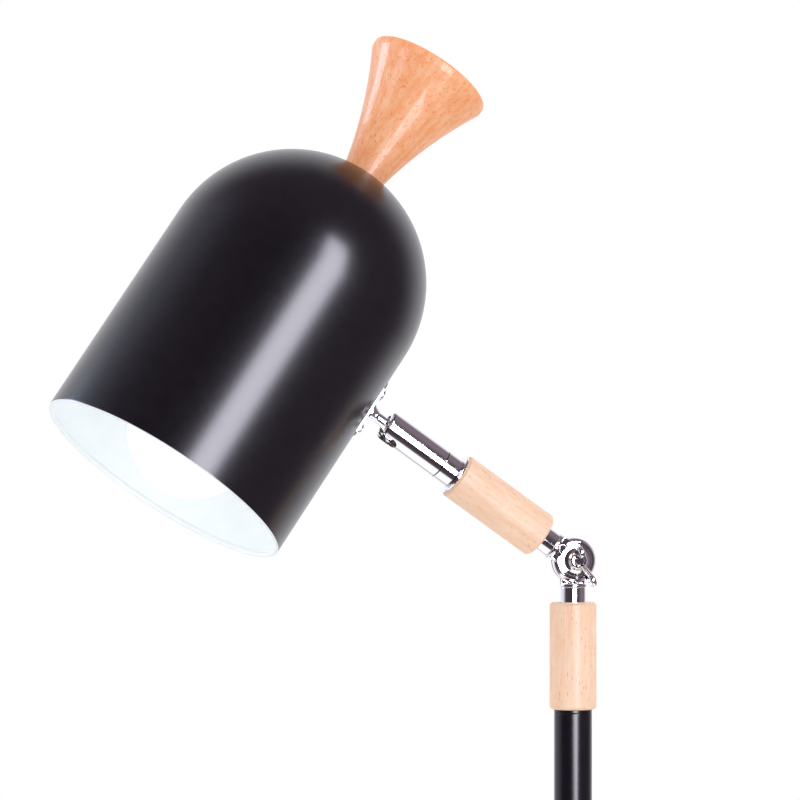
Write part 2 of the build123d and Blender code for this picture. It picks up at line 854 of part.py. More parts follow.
keep(base_pad(), "base_pad")
keep(base_weight(), "base_weight")
keep(base_cover(), "base_cover")
keep(cable_grommet(), "cable_grommet")
keep(base_nipple(), "base_nipple")
keep(base_washer(), "base_washer")
keep(base_nut(), "base_nut")
keep(foot_collar(), "foot_collar")

keep(pole_foot_plug(), "pole_foot_plug")
keep(pole_tube(pole_low + seat_gap, joint_low), "pole_lower")
keep(pole_tube(joint_low + seat_gap, joint_high), "pole_middle")
keep(pole_tube(joint_high + seat_gap, pole_top - plug_shoulder - seat_gap), "pole_upper")
keep(Compound([pole_stud(z) for z in (joint_low, joint_high)]), "pole_studs")
keep(Compound([pole_socket(z) for z in (joint_low, joint_high)]), "pole_sockets")
keep(pole_top_plug(), "pole_top_plug")
keep(wooden_sleeve(pole_top), "pole_sleeve")

keep(down_pole * tube(stub_diameter, stub_bore, stub_start, pivot_height - stub_low), "neck_tube")
keep(down_pole * knuckle(1), "knuckle_lower")
keep(up_arm * knuckle(-1), "knuckle_upper")
keep(friction_washer(), "friction_washer")
keep(pivot_bolt(), "pivot_bolt")
keep(nut_washer(), "nut_washer")
keep(wing_nut(), "wing_nut")

keep(up_arm * tube(stub_diameter, stub_bore, stub_start, arm_tube_end), "arm_tube")
keep(up_arm * wooden_sleeve(sleeve_start), "arm_sleeve")
keep(up_arm * sleeve_end_ring(), "sleeve_end_ring")
keep(up_arm * ferrule(), "ferrule")

keep(slot_side * (joint_body() - slot_cut()), "joint_body")
keep(up_joint * swivel_plug(), "swivel_plug")
keep(up_joint * swivel_clip(), "swivel_clip")
keep(Compound([up_joint * spring for spring in disc_springs()]), "disc_springs")
keep(up_joint * ball_seat(), "ball_seat")
keep(up_stem * ball_stud(), "ball_stud")

keep(up_head * mount_plate(), "mount_plate")
keep(Compound([up_head * plate_screw(z) for z in screw_heights()]), "plate_screws")
keep(Compound([up_head * screw_washer(z) for z in screw_heights()]), "screw_washers")
keep(Compound([up_head * screw_nut(z) for z in screw_heights()]), "screw_nuts")
keep(up_head * stem_nut(), "stem_nut")
keep(up_head * shade(), "shade")
keep(up_head * finial(), "finial")
keep(up_head * finial_insert(), "finial_insert")
keep(up_head * holder_rod(), "holder_rod")
keep(up_head * rod_washer(), "rod_washer")
keep(up_head * rod_nut(), "rod_nut")
keep(up_head * holder_cap(), "holder_cap")
keep(up_head * holder_shell(), "holder_shell")
keep(up_head * holder_insulator(), "holder_insulator")
keep(up_head * holder_screw_shell(), "holder_screw_shell")
keep(up_head * holder_contact(), "holder_contact")
keep(up_head * bulb_globe(), "bulb_globe")
keep(up_head * bulb_body(), "bulb_body")
keep(up_head * bulb_cap(), "bulb_cap")
keep(up_head * bulb_contact(), "bulb_contact")
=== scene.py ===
import math

import bmesh
import bpy
from mathutils import Matrix, Vector


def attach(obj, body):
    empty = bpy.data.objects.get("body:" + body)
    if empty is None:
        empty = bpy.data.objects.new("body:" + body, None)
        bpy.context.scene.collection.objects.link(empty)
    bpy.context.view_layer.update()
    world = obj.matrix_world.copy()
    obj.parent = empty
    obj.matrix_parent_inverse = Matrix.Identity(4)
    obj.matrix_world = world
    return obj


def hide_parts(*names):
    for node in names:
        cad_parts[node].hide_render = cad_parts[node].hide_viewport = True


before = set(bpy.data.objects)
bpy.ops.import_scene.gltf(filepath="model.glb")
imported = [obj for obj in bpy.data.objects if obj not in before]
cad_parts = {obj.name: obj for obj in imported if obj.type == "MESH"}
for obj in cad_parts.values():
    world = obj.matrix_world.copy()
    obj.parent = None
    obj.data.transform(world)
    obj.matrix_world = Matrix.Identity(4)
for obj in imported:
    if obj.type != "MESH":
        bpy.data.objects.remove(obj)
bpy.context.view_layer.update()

# Camera. A long lens stands a good three metres off, a little above the elbow and round to the
# left of square on. It takes in the upper end of the lamp only, as the photograph does.
elbow = Vector((0, 0, 1.2))
lens_length = 259.25
stand_off = 3.3453
spot_azimuth, spot_elevation = -17.725, 1.982
view_azimuth, view_elevation = -16.004, 0.391


def outward(azimuth, elevation):
    """The direction out of the lamp at an azimuth from the front and a height above level."""
    turn, rise = math.radians(azimuth), math.radians(elevation)
    level = math.cos(rise)
    return Vector((math.sin(turn) * level, -math.cos(turn) * level, math.sin(rise)))


def place(origin, across, forward):
    """The frame of a piece: its X lies across it and its Z runs forward along it."""
    z = forward.normalized()
    y = z.cross(across).normalized()
    frame_axes = Matrix((y.cross(z), y, z)).transposed().to_4x4()
    return Matrix.Translation(origin) @ frame_axes


def set_out(name, data):
    """A new object in the scene, made from its data."""
    thing = bpy.data.objects.new(name, data)
    bpy.context.scene.collection.objects.link(thing)
    return thing


view_back = outward(view_azimuth, view_elevation)
view_right = Vector((0, 0, 1)).cross(view_back).normalized()
view_up = view_back.cross(view_right)
camera_data = bpy.data.cameras.new("camera")
camera_data.lens = lens_length
camera_data.clip_start, camera_data.clip_end = 0.1, 60
camera = set_out("camera", camera_data)
camera_spot = elbow + stand_off * outward(spot_azimuth, spot_elevation)
camera.matrix_world = place(camera_spot, view_right, view_back)
bpy.context.scene.camera = camera

# Studio. A white cove stands behind the lamp and a dim room in front of it. A strip softbox
# hangs to the right and two cooler panels to the left, for the gloss alone. An even sky and a
# large soft lamp light the colours, and the floor is a pale disc that fades into the white.
bpy.context.scene.view_settings.view_transform = "Standard"
white = (1, 1, 1, 1)
ambient_level = 1.02
strip_level, side_level, fill_level, key_level = 16.0, 13.0, 5.85, 0.754
lamp_colour, panel_colour = (0.93, 0.92, 1.04), (0.66, 0.86, 1.15)
room_colour, wall_colour = (0.054, 0.036, 0.045, 1), (0.21, 0.165, 0.20, 1)
cove_colour, far_colour = (0.84, 0.84, 0.97, 1), (1.06, 1.05, 1.10, 1)
swept_colour = (0.95, 0.95, 0.95, 1)
wall_span, cove_span, side_span = (0.90, 0.20), (0.45, -0.22), (-0.36, -0.97)
far_span, swept_span = (-0.30, -0.82), (-0.76, -0.86)


def add(tree, kind, inputs=None, **settings):
    """One node, with its settings and the values or links of its inputs."""
    node = tree.nodes.new(kind)
    for name, value in settings.items():
        setattr(node, name, value)
    for name, value in (inputs or {}).items():
        if isinstance(value, bpy.types.NodeSocket):
            tree.links.new(value, node.inputs[name])
        else:
            node.inputs[name].default_value = value
    return node


def math_node(tree, operation, *values, clamp=False):
    """The result of one sum on numbers or sockets."""
    inputs = dict(enumerate(values))
    return add(tree, "ShaderNodeMath", inputs, operation=operation, use_clamp=clamp).outputs[0]


def vector_node(tree, operation, *values):
    """The outputs of one sum on points or directions."""
    inputs = dict(enumerate(values))
    return add(tree, "ShaderNodeVectorMath", inputs, operation=operation).outputs


def times(tree, first, second):
    """The product of two numbers or sockets."""
    return math_node(tree, "MULTIPLY", first, second)


def spread(tree, value, low, high, out_low=0, out_high=1, smooth=False):
    """A value stretched from one range to another and held inside it."""
    inputs = {0: value, 1: low, 2: high, 3: out_low, 4: out_high}
    kind = "SMOOTHSTEP" if smooth else "LINEAR"
    return add(tree, "ShaderNodeMapRange", inputs, interpolation_type=kind).outputs[0]


def blend_colours(tree, share, first, second):
    """One colour going over to another by a share from 0 to 1."""
    inputs = {0: share, 6: first, 7: second}
    return add(tree, "ShaderNodeMix", inputs, data_type="RGBA").outputs[2]


def blend_shaders(tree, share, first, second):
    """One shader going over to another."""
    return add(tree, "ShaderNodeMixShader", {0: share, 1: first, 2: second}).outputs[0]


world = bpy.data.worlds.new("studio")
bpy.context.scene.world = world
world.use_nodes = True
world_tree = world.node_tree
world_tree.nodes.clear()
light_path = add(world_tree, "ShaderNodeLightPath")
ray = add(world_tree, "ShaderNodeTexCoord").outputs["Generated"]


def along(direction):
    """How far a ray runs along a direction, from -1 to 1."""
    return vector_node(world_tree, "DOT_PRODUCT", ray, direction)["Value"]


def zone(direction, span, before, after):
    """The room's colour, which changes while a ray turns through a span of a direction."""
    return blend_colours(world_tree, spread(world_tree, direction, *span, smooth=True), before, after)


to_front, to_right, to_top = along(view_back), along(view_right), along(view_up)
wall = zone(to_front, wall_span, room_colour, wall_colour)
cove = zone(to_front, cove_span, room_colour, cove_colour)
sides = zone(to_right, side_span, wall, cove)
far = zone(to_front, far_span, sides, far_colour)
swept = zone(to_top, swept_span, far, swept_colour)
mirrored, ambient, backdrop = [
    add(world_tree, "ShaderNodeBackground", {"Strength": level, "Color": colour}).outputs[0]
    for level, colour in ((1.0, swept), (ambient_level, white), (1.0, white))
]
seen_in_gloss = math_node(
    world_tree, "MAXIMUM", light_path.outputs["Is Glossy Ray"],
    light_path.outputs["Is Transmission Ray"],
)
lit = blend_shaders(world_tree, seen_in_gloss, ambient, mirrored)
shown = blend_shaders(world_tree, light_path.outputs["Is Camera Ray"], lit, backdrop)
add(world_tree, "ShaderNodeOutputWorld", {"Surface": shown})


def studio_lamp(name, spot, across, facing, size, level, colour, in_gloss):
    """A rectangular lamp, seen either in gloss alone or by plain surfaces alone. Its spot is
    right of, above and in front of the elbow, its long side lies along across, it shines
    against facing, and level is its surface brightness."""
    long_side, short_side = size
    data = bpy.data.lights.new(name, "AREA")
    data.shape, data.size, data.size_y = "RECTANGLE", long_side, short_side
    data.energy = level * math.pi * long_side * short_side
    data.color = colour
    lamp = set_out(name, data)
    view_axes = Matrix((view_right, view_up, view_back)).transposed()
    lamp.matrix_world = place(
        elbow + view_axes @ Vector(spot), view_axes @ Vector(across), view_axes @ Vector(facing)
    )
    lamp.visible_glossy, lamp.visible_diffuse = in_gloss, not in_gloss
    lamp.visible_camera = False


slope = math.radians(60.0)
studio_lamp("strip_softbox", (0.5615, 0.413, 1.1), (math.cos(slope), math.sin(slope), 0), (0, 0, 1),
            (1.53, 0.55), strip_level, lamp_colour, True)
studio_lamp("side_softbox", (-1.36, 0.64, -0.42), (0.28, 0, 1), (-1.0, 0.26, -0.28),
            (0.52, 0.36), side_level, panel_colour, True)
studio_lamp("side_fill", (-1.22, 0.60, 0.66), (-0.5, 0, 1), (-0.95, 0.26, 0.5),
            (0.42, 0.30), fill_level, panel_colour, True)
studio_lamp("key_softbox", (1.1, 1.0, 1.6), (1, 0, 0), (1.1, 1.0, 1.6),
            (1.0, 1.0), key_level, lamp_colour, False)


def blank_material(name):
    """A new material and its empty tree."""
    material = bpy.data.materials.new(name)
    material.use_nodes = True
    material.node_tree.nodes.clear()
    return material, material.node_tree


floor_radius, fade_start, floor_glow = 1.1, 0.66, 0.35
floor_mesh = bpy.data.meshes.new("floor")
floor_shape = bmesh.new()
bmesh.ops.create_circle(floor_shape, cap_ends=True, segments=128, radius=floor_radius)
floor_shape.to_mesh(floor_mesh)
floor_shape.free()
floor = set_out("floor", floor_mesh)
floor_paint, floor_tree = blank_material("floor_paint")
floor_light = add(floor_tree, "ShaderNodeLightPath")
floor_seen = math_node(
    floor_tree, "MAXIMUM", floor_light.outputs["Is Camera Ray"],
    floor_light.outputs["Is Glossy Ray"],
)
floor_lift = times(floor_tree, floor_seen, floor_glow)
floor_coat = add(
    floor_tree, "ShaderNodeBsdfPrincipled",
    {"Base Color": (0.8, 0.8, 0.8, 1), "Roughness": 0.9, "Specular IOR Level": 0.0,
     "Emission Color": white, "Emission Strength": floor_lift},
).outputs[0]
floor_point = add(floor_tree, "ShaderNodeTexCoord").outputs["Object"]
floor_reach = vector_node(floor_tree, "LENGTH", floor_point)["Value"]
floor_fade = spread(floor_tree, floor_reach, fade_start, floor_radius, smooth=True)
clear = add(floor_tree, "ShaderNodeBsdfTransparent").outputs[0]
faded = blend_shaders(floor_tree, floor_fade, floor_coat, clear)
add(floor_tree, "ShaderNodeOutputMaterial", {"Surface": faded})
floor.data.materials.append(floor_paint)

# Base. A pressed steel cover, powder coated satin black, sits over a cast iron weight with a
# rubber pad under it. A hollow threaded nipple, a washer and a nut clamp them to the pole.
mm = 0.001
upright = Matrix.Identity(4)


def begin_finish(name, where):
    """A new material, with the piece's own coordinates read from a place on the lamp."""
    material, tree = blank_material(name)
    point = add(tree, "ShaderNodeTexCoord").outputs["Object"]
    inputs = {"Vector": point, "Location": where.translation, "Rotation": where.to_euler()}
    own = add(tree, "ShaderNodeMapping", inputs, vector_type="TEXTURE").outputs[0]
    return material, tree, own


def end_finish(tree, inputs):
    """The shader of a finish, wired to the material's output."""
    shader = add(tree, "ShaderNodeBsdfPrincipled", inputs).outputs[0]
    add(tree, "ShaderNodeOutputMaterial", {"Surface": shader})


def grain_noise(tree, point, size, stretch=1.0, detail=3.0, roughness=0.55):
    """Noise with marks of a size in millimetres, drawn out along the piece by stretch."""
    scale = 1 / (size * mm)
    drawn = vector_node(tree, "MULTIPLY", point, (scale, scale, scale / stretch))[0]
    inputs = {"Vector": drawn, "Scale": 1.0, "Detail": detail, "Roughness": roughness}
    return add(tree, "ShaderNodeTexNoise", inputs).outputs[0]


def surface(name, colours, roughness, grain, stretch=1.0, depth=0.01, metallic=0.0, where=upright):
    """A finish whose colour, gloss and relief vary with a grain: sizes in millimetres."""
    cloud_size = 9 * grain
    material, tree, own = begin_finish(name, where)
    broad = grain_noise(tree, own, cloud_size, stretch)
    close = grain_noise(tree, own, grain, stretch)
    share = spread(tree, broad, 0.35, 0.65)
    first, second = [(*colour, 1) for colour in colours]
    gloss = spread(tree, close, 0.3, 0.7, *roughness)
    relief = add(tree, "ShaderNodeBump", {"Height": close, "Distance": depth * mm, "Strength": 1.0})
    end_finish(tree, {
        "Base Color": blend_colours(tree, share, first, second), "Roughness": gloss,
        "Metallic": metallic, "Normal": relief.outputs[0],
    })
    return material


def satin_black(name, where=upright):
    """Powder coat: almost black with a violet cast, satin, with a very fine orange peel."""
    violet_blacks = ((0.0045, 0.0028, 0.0064), (0.0068, 0.0046, 0.0088))
    return surface(name, violet_blacks, (0.22, 0.27), 0.9, depth=0.002, where=where)


def discard(thing):
    """Takes away a blank and its mesh once they are worked up."""
    blank = thing.data
    bpy.data.objects.remove(thing)
    bpy.data.meshes.remove(blank)


def finished(thing, where=upright):
    """The plain mesh of a made-up piece with its modifiers run, set at its place on the lamp."""
    bpy.context.view_layer.update()
    graph = bpy.context.evaluated_depsgraph_get()
    mesh = bpy.data.meshes.new_from_object(
        thing.evaluated_get(graph), preserve_all_data_layers=True, depsgraph=graph
    )
    name = thing.name
    discard(thing)
    mesh.transform(where)
    mesh.name = name
    return set_out(name, mesh)


def fit(piece, body, slot, *cad_nodes):
    """Sets a piece on its body in the place of its CAD solids."""
    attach(piece, body)
    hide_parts(*cad_nodes)


def even_normals(thing):
    """Flat faces stay flat next to a small round: the larger face leads the shading."""
    shading = thing.modifiers.new("even_normals", "WEIGHTED_NORMAL")
    shading.keep_sharp = True


def eased(name, cad_node, edge, material, body, slot):
    """Fits a piece cut or pressed to its CAD shape, with its sharp edges broken by a small round."""
    flat_angle, eased_angle, crease_angle = [math.radians(a) for a in (0.3, 28.0, 40.0)]
    mesh = bpy.data.meshes.new(name)
    shape = bmesh.new()
    shape.from_mesh(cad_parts[cad_node].data)
    bmesh.ops.remove_doubles(shape, verts=shape.verts, dist=0.001 * mm)
    bmesh.ops.dissolve_limit(shape, angle_limit=flat_angle, verts=shape.verts, edges=shape.edges)
    sharp = [e for e in shape.edges if e.is_manifold and e.calc_face_angle() > eased_angle]
    bmesh.ops.bevel(
        shape, geom=sharp, offset=edge * mm, segments=3, profile=0.5, affect="EDGES",
        clamp_overlap=True,
    )
    for face in shape.faces:
        face.smooth = True
    shape.to_mesh(mesh)
    shape.free()
    mesh.materials.append(material)
    mesh.set_sharp_from_angle(angle=crease_angle)
    thing = set_out(name, mesh)
    even_normals(thing)
    fit(finished(thing), body, slot, cad_node)


def begin_tree(name, inputs, output):
    """A new tree with its named inputs and one output, and the node that gives the inputs."""
    tree = bpy.data.node_groups.new(name, "GeometryNodeTree")
    for label, kind, default in inputs:
        socket = tree.interface.new_socket(label, in_out="INPUT", socket_type="NodeSocket" + kind)
        if default is not None:
            socket.default_value = default
    tree.interface.new_socket(output, in_out="OUTPUT", socket_type="NodeSocketGeometry")
    return tree, add(tree, "NodeGroupInput").outputs


def turning_tree():
    """Turns an outline drawn in the XZ plane round Z. A thread is cut where the outline's
    points ask for it, and the faces past the lining row take a second material."""
    crease_angle, merge_distance = 0.65, 2e-6
    tree, given = begin_tree("turned_piece", (
        ("Outline", "Geometry", None), ("Steps", "Int", 96), ("Thread Pitch", "Float", 0.001),
        ("Thread Depth", "Float", 0.0), ("Lining Row", "Float", 1e6), ("Material", "Material", None),
        ("Lining", "Material", None),
    ), "Piece")
    count = add(
        tree, "GeometryNodeAttributeDomainSize", {"Geometry": given["Outline"]}, component="MESH"
    ).outputs["Point Count"]
    columns = math_node(tree, "ADD", given["Steps"], 1)
    grid = add(tree, "GeometryNodeMeshGrid", {"Vertices X": columns, "Vertices Y": count}).outputs
    chart = add(tree, "ShaderNodeSeparateXYZ", {0: grid["UV Map"]}).outputs
    row = times(tree, chart["Y"], math_node(tree, "SUBTRACT", count, 1))
    index = math_node(tree, "ROUND", row)
    angle = times(tree, chart["X"], 2 * math.pi)
    spot = add(
        tree, "GeometryNodeSampleIndex",
        {"Geometry": given["Outline"], "Value": add(tree, "GeometryNodeInputPosition").outputs[0],
         "Index": index},
        data_type="FLOAT_VECTOR",
    ).outputs["Value"]
    marked = add(
        tree, "GeometryNodeInputNamedAttribute", {"Name": "threaded"}, data_type="FLOAT"
    ).outputs["Attribute"]
    threaded = add(
        tree, "GeometryNodeSampleIndex",
        {"Geometry": given["Outline"], "Value": marked, "Index": index}, data_type="FLOAT",
    ).outputs["Value"]
    reach = add(tree, "ShaderNodeSeparateXYZ", {0: spot}).outputs
    turns = math_node(tree, "DIVIDE", reach["Z"], given["Thread Pitch"])
    phase = times(tree, math_node(tree, "SUBTRACT", turns, chart["X"]), 2 * math.pi)
    ridge = times(tree, math_node(tree, "COSINE", phase), given["Thread Depth"])
    ridge = times(tree, ridge, threaded)
    radius = math_node(tree, "ADD", reach["X"], ridge)
    moved = add(
        tree, "ShaderNodeCombineXYZ",
        {0: times(tree, radius, math_node(tree, "COSINE", angle)),
         1: times(tree, radius, math_node(tree, "SINE", angle)), 2: reach["Z"]},
    ).outputs[0]
    turned_mesh = add(tree, "GeometryNodeSetPosition", {"Geometry": grid["Mesh"], "Position": moved})
    closed = add(
        tree, "GeometryNodeMergeByDistance",
        {"Geometry": turned_mesh.outputs[0], "Distance": merge_distance},
    ).outputs[0]
    smooth = add(tree, "GeometryNodeSetShadeSmooth", {"Geometry": closed}).outputs[0]
    bend = add(tree, "GeometryNodeInputMeshEdgeAngle").outputs["Unsigned Angle"]
    crease = math_node(tree, "GREATER_THAN", bend, crease_angle)
    sharp = add(
        tree, "GeometryNodeSetShadeSmooth",
        {"Geometry": smooth, "Selection": crease, "Shade Smooth": False}, domain="EDGE",
    ).outputs[0]
    real = add(tree, "GeometryNodeRealizeInstances", {"Geometry": sharp}).outputs[0]
    coated = add(
        tree, "GeometryNodeSetMaterial", {"Geometry": real, "Material": given["Material"]}
    ).outputs[0]
    past = math_node(tree, "GREATER_THAN", row, given["Lining Row"])
    lined = add(
        tree, "GeometryNodeSetMaterial",
        {"Geometry": coated, "Selection": past, "Material": given["Lining"]},
    ).outputs[0]
    add(tree, "NodeGroupOutput", {"Piece": lined})
    return tree


turned_piece = turning_tree()


def set_inputs(thing, tree, **values):
    """Runs a tree on a piece, with its inputs set by their identifiers."""
    modifier = thing.modifiers.new(tree.name, "NODES")
    modifier.node_group = tree
    for item in tree.interface.items_tree:
        key = item.name.replace(" ", "_").lower()
        if key in values:
            modifier[item.identifier] = values[key]


def rounded(corners, closed=True, steps=4):
    """An outline through (across, along, round) corners, with an arc of short runs at each."""
    points = []
    count = len(corners)
    for i, corner in enumerate(corners):
        here = Vector(corner[:2])
        size = corner[2] if len(corner) > 2 else 0
        if size == 0 or (not closed and i in (0, count - 1)):
            points.append(here)
            continue
        back = (Vector(corners[i - 1][:2]) - here).normalized()
        on = (Vector(corners[(i + 1) % count][:2]) - here).normalized()
        half = back.angle(on) / 2
        run = size / math.tan(half)
        centre = here + (back + on).normalized() * size / math.sin(half)
        start, end = here + back * run - centre, here + on * run - centre
        sweep = start.angle_signed(end)
        for k in range(steps + 1):
            spot = start.copy()
            spot.rotate(Matrix.Rotation(-sweep * k / steps, 2))
            points.append(centre + spot)
    return points + points[:1] if closed else points


def turned(name, outline, material, where=upright, steps=96, pitch=1.0, depth=0.0, threaded=None,
           lining=None, lining_row=1e6):
    """A piece turned, spun or drawn round its own axis from an outline in millimetres."""
    points = [Vector((p[0] * mm, 0, p[1] * mm)) for p in outline]
    area = sum(a.x * b.z - b.x * a.z for a, b in zip(points, points[1:] + points[:1]))
    marks = list(threaded) if threaded else [0.0] * len(points)
    if area < 0:
        points.reverse()
        marks.reverse()
    mesh = bpy.data.meshes.new(name)
    mesh.from_pydata(points, [(i, i + 1) for i in range(len(points) - 1)], [])
    mesh.attributes.new("threaded", "FLOAT", "POINT").data.foreach_set("value", marks)
    thing = set_out(name, mesh)
    set_inputs(
        thing, turned_piece, steps=steps, thread_pitch=pitch * mm, thread_depth=depth * mm,
        lining_row=float(lining_row), material=material, lining=lining,
    )
    even_normals(thing)
    return finished(thing, where)


def spaced(low, high, count):
    """The values at even steps from one to another, both ends with them."""
    return [low + (high - low) * k / count for k in range(count + 1)]


def run_in(rows, length):
    """The share of its depth a thread has at each row: it fades out over a length at both ends."""
    return [min(1.0, min(k, rows - k) / length) for k in range(rows + 1)]


def threaded_bar(name, material, diameter, bore, low, high, pitch, where=upright):
    """A hollow bar with a thread rolled on its whole length and a lead at both ends."""
    rows_per_turn, steps = 6, 40
    depth = 0.27 * pitch
    radius = diameter / 2 - depth
    rows = round((high - low) / pitch * rows_per_turn)
    wall = [(radius, height) for height in spaced(low, high, rows)]
    outline = [(bore / 2, low)] + wall + [(bore / 2, high), (bore / 2, low)]
    marks = [0.0] + run_in(rows, rows_per_turn) + [0.0, 0.0]
    return turned(name, outline, material, where, steps, pitch, depth, marks)


def ring(name, material, diameter, bore, low, high, where=upright, edge=0.3, steps=64):
    """A washer or a short tube with its rims broken."""
    inner, outer = bore / 2, diameter / 2
    corners = [(inner, low, edge), (outer, low, edge), (outer, high, edge), (inner, high, edge)]
    return turned(name, rounded(corners, steps=3), material, where, steps)


base_black = satin_black("base_black")
cast_iron = surface("cast_iron", ((0.035, 0.034, 0.034), (0.06, 0.056, 0.053)), (0.55, 0.8), 2.2,
                    depth=0.12, metallic=0.3)
pad_rubber = surface("pad_rubber", ((0.016, 0.016, 0.017), (0.024, 0.023, 0.023)), (0.72, 0.9), 0.7,
                     depth=0.03)
plated_steel = surface("plated_steel", ((0.56, 0.57, 0.58), (0.66, 0.66, 0.65)), (0.22, 0.38), 1.4,
                       depth=0.006, metallic=1.0)
tread, pad_top, pad_radius = 0.6, 3.0, 118.0
pad_outline = [(0, tread)]
for groove_end, next_groove in ((30, 46), (72, 88), (104, 117.4)):
    pad_outline += [(groove_end, tread), (groove_end + tread, 0), (next_groove, 0),
                    (next_groove + tread, tread)]
pad_outline += [(pad_radius, pad_top - 0.4), (pad_radius - 0.4, pad_top), (0, pad_top)]
fit(turned("pad_moulded", pad_outline, pad_rubber), "stand", "rubber", "base_pad")
eased("weight_casting", "base_weight", 0.8, cast_iron, "stand", "cast_iron")
eased("cover_pressing", "base_cover", 0.25, base_black, "stand", "satin_black")
eased("grommet_moulded", "cable_grommet", 0.25, pad_rubber, "stand", "rubber")
nipple_thread, cable_bore = 10.0, 7.0
fit(threaded_bar("nipple_threaded", plated_steel, nipple_thread, cable_bore, 4.5, 37.0, 1.0), "stand",
    "plain_steel", "base_nipple")
fit(ring("washer_stamped", plated_steel, 28.0, 10.1, 9.95, 11.95), "stand", "plain_steel",
    "base_washer")
eased("nut_of_base", "base_nut", 0.3, plated_steel, "stand", "plain_steel")
cover_top, collar_bore, collar_radius, collar_top = 22.05, 11.05, 17.0, 34.0
collar_outline = rounded([(collar_bore, cover_top, 0.2), (collar_radius, cover_top, 0.3),
                          (collar_radius, collar_top, 3.0), (collar_bore, collar_top, 0.3)], steps=8)
fit(turned("collar_turned", collar_outline, base_black), "stand", "satin_black", "foot_collar")

# Pole. Three lengths of drawn steel tube, powder coated satin black, are joined by threaded
# studs and bored sockets pressed in their ends, and a bored plug closes each end of the pole.
pole_black = satin_black("pole_black")
tube_radius, tube_bore = 11.0, 9.8
first_joint, joint_step, tube_end = 384.0, 362.0, 1111.45
second_joint = first_joint + joint_step
gap = 0.05


def repeating_tree():
    """Sets out a number of equal pieces in a row."""
    tree, given = begin_tree("repeated_piece", (
        ("Piece", "Geometry", None), ("Count", "Int", 2), ("Step", "Vector", None),
        ("Material", "Material", None),
    ), "Row")
    spots = add(
        tree, "GeometryNodeMeshLine", {"Count": given["Count"], "Offset": given["Step"]}
    ).outputs[0]
    row = add(
        tree, "GeometryNodeInstanceOnPoints", {"Points": spots, "Instance": given["Piece"]}
    ).outputs[0]
    real = add(tree, "GeometryNodeRealizeInstances", {"Geometry": row}).outputs[0]
    coated = add(
        tree, "GeometryNodeSetMaterial", {"Geometry": real, "Material": given["Material"]}
    ).outputs[0]
    add(tree, "NodeGroupOutput", {"Row": coated})
    return tree


repeated_piece = repeating_tree()


def repeated(piece, count, step):
    """A row of equal pieces, set out from a finished one by a step in millimetres."""
    set_inputs(piece, repeated_piece, count=count, step=[s * mm for s in step],
               material=piece.data.materials[0])
    return finished(piece)


def pole_length(name, cad_node, low, high):
    """A drawn tube, cut square, with its rims rolled slightly over."""
    corners = [(tube_bore, low, 0.15), (tube_radius, low, 0.4), (tube_radius, high, 0.4),
               (tube_bore, high, 0.15)]
    fit(turned(name, rounded(corners), pole_black), "stand", "satin_black", cad_node)


pole_length("tube_lower", "pole_lower", cover_top, first_joint)
pole_length("tube_middle", "pole_middle", first_joint + gap, second_joint)
pole_length("tube_upper", "pole_upper", second_joint + gap, tube_end)
plug_radius, plug_length = 9.75, 22.0
fit(ring("plug_in_foot", plated_steel, 2 * plug_radius, 10.1, cover_top, cover_top + plug_length,
         edge=0.5), "stand", "plain_steel", "pole_foot_plug")
stud_foot, stud_shoulder, stud_tip = 362.0, 383.95, 398.0
stud_bore, stud_thread, stud_rows = 3.5, 6.2, 84
stud_outline = [(stud_bore, stud_foot), (plug_radius - 0.4, stud_foot), (plug_radius, stud_foot + 0.4),
                (plug_radius, stud_shoulder)]
stud_marks = [0.0] * len(stud_outline) + run_in(stud_rows, 6) + [0.0] * 2
stud_outline += [(stud_thread, height) for height in spaced(stud_shoulder, stud_tip, stud_rows)]
stud_outline += [(stud_bore, stud_tip), (stud_bore, stud_foot)]
stud = turned("studs_threaded", stud_outline, plated_steel, steps=48, pitch=1.0, depth=0.27,
              threaded=stud_marks)
fit(repeated(stud, 2, (0, 0, joint_step)), "stand", "plain_steel", "pole_studs")
socket = ring("sockets_bored", plated_steel, 2 * plug_radius, 13.1, first_joint + gap, 406, edge=0.4)
fit(repeated(socket, 2, (0, 0, joint_step)), "stand", "plain_steel", "pole_sockets")
stub_bore, rim_low, rim_high = 7.7, 1111.5, 1113.45
plug_corners = [(stub_bore, rim_low - plug_length, 0.2), (plug_radius, rim_low - plug_length, 0.5),
                (plug_radius, rim_low, 0), (tube_radius, rim_low, 0.35), (tube_radius, rim_high, 0.35),
                (stub_bore, rim_high, 0.2)]
fit(turned("plug_with_rim", rounded(plug_corners), pole_black), "stand", "satin_black",
    "pole_top_plug")

# Wooden sleeves. Two turned beech sleeves with a lacquer finish slide over the chrome stub
# tubes, one on the pole and one on the arm, with the grain running along them.
lean = math.radians(35.1)
arm_direction = Vector((-math.cos(lean), 0, math.sin(lean)))
arm_up = Vector((math.sin(lean), 0, math.cos(lean)))
up_arm = place(elbow, arm_up, arm_direction)


